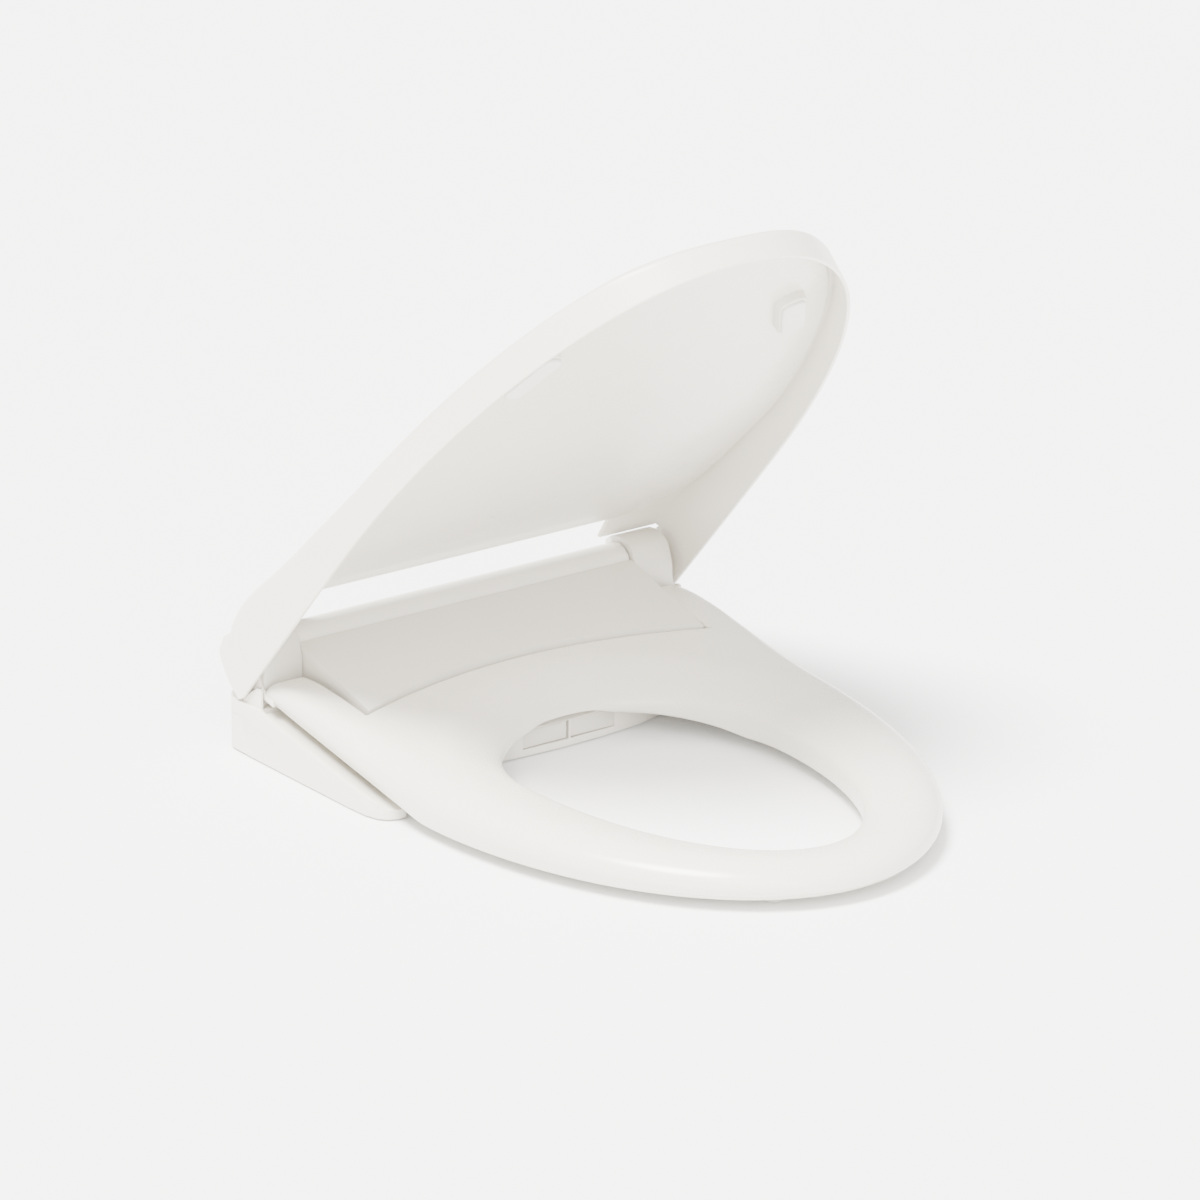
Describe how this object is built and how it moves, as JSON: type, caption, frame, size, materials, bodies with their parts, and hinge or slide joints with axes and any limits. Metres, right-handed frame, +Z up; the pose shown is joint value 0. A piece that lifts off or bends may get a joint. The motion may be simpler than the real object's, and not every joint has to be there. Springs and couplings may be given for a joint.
{
  "type": "electric bidet seat",
  "caption": "Electric bidet toilet seat with a heated ring, soft-close lid, rear water and dryer unit, sliding wash nozzle and a quick-release fixing plate.",
  "frame": {"origin": "midpoint between the two fixing slots, on the underside of the fixing plate, which is the plane of the toilet bowl's rim", "axes": "+Z up from the bowl's rim, -Y towards the nose of the seat, +X to the right seen from the front of the nose looking back along +Y"},
  "size_m": [0.387, 0.529, 0.4451],
  "materials": {
    "plate": "moulded",
    "dark_rubber": "moulded",
    "white_abs": "satin",
    "panel_abs": "satin",
    "grey_plastic": "moulded",
    "steel": "turned",
    "brass": "turned",
    "tank_plastic": "moulded",
    "copper": "plain",
    "hose": "extruded",
    "gland": "moulded",
    "board": "solder mask",
    "nozzle_abs": "polished",
    "filter": "moulded",
    "ring_abs": "polished",
    "foil": "film",
    "pale_rubber": "moulded",
    "lid_abs": "polished",
    "liner_abs": "satin"
  },
  "bodies": {
    "fixing": {"mounting_plate": "plate", "plate_pads": "dark_rubber"},
    "unit": {"base_housing": "white_abs", "unit_feet": "dark_rubber", "top_cover": "panel_abs", "rear_cover": "white_abs", "side_cap_left": "white_abs", "side_cap_right": "white_abs", "hinge_towers": "panel_abs", "hinge_bushes": "grey_plastic", "hinge_dampers": "grey_plastic", "case_screws": "steel", "water_inlet": "brass", "solenoid_valve": "grey_plastic", "water_pump": "grey_plastic", "water_tank": "tank_plastic", "tank_heater": "copper", "water_hoses": "hose", "cord_gland": "gland", "power_board": "board", "control_board": "board", "fan_housing": "grey_plastic", "fan_heater": "copper", "nozzle_rail": "grey_plastic", "nozzle_motor": "grey_plastic"},
    "ring": {"ring_upper": "ring_abs", "ring_lower": "ring_abs", "ring_heater": "foil", "ring_bumpers": "pale_rubber"},
    "lid": {"lid_shaft": "steel", "lid_shell": "lid_abs", "lid_liner": "liner_abs", "lid_bumper_mounts": "liner_abs", "lid_bumpers": "pale_rubber"},
    "nozzle": {"nozzle_wand": "nozzle_abs", "nozzle_tip": "steel", "nozzle_door": "panel_abs"},
    "dryer_door": {"dryer_flap": "panel_abs"},
    "fan": {"fan_rotor": "grey_plastic"},
    "filter": {"filter_cartridge": "filter", "filter_cover": "white_abs"},
    "release": {"release_button": "panel_abs"}
  },
  "joints": [
    {"name": "unit_release", "type": "slide", "parent": "fixing", "child": "unit", "axis": [0, -1, 0], "range_m": [0, 0.05]},
    {"name": "seat_lift", "type": "hinge", "parent": "unit", "child": "ring", "pos_m": [0, 0.05, 0.066], "axis": [-1, 0, 0], "range_deg": [0, 48]},
    {"name": "lid_swing", "type": "hinge", "parent": "unit", "child": "lid", "pos_m": [0, 0.05, 0.066], "axis": [-1, 0, 0], "range_deg": [-50.8, 45]},
    {"name": "nozzle_extend", "type": "slide", "parent": "unit", "child": "nozzle", "axis": [0, -0.9962, -0.0872], "range_m": [0, 0.08]},
    {"name": "dryer_door_swing", "type": "hinge", "parent": "unit", "child": "dryer_door", "pos_m": [0.0297, -0.0803, 0.0198], "axis": [-1, 0, 0], "range_deg": [0, 65]},
    {"name": "fan_spin", "type": "hinge", "parent": "unit", "child": "fan", "pos_m": [0.046, 0.01, 0.02], "axis": [0, 0, 1], "continuous": true},
    {"name": "filter_pull", "type": "slide", "parent": "unit", "child": "filter", "axis": [1, 0, 0], "range_m": [0, 0.036]},
    {"name": "release_press", "type": "slide", "parent": "unit", "child": "release", "axis": [-1, 0, 0], "range_m": [0, 0.003], "stiffness_N_per_m": 400}
  ]
}
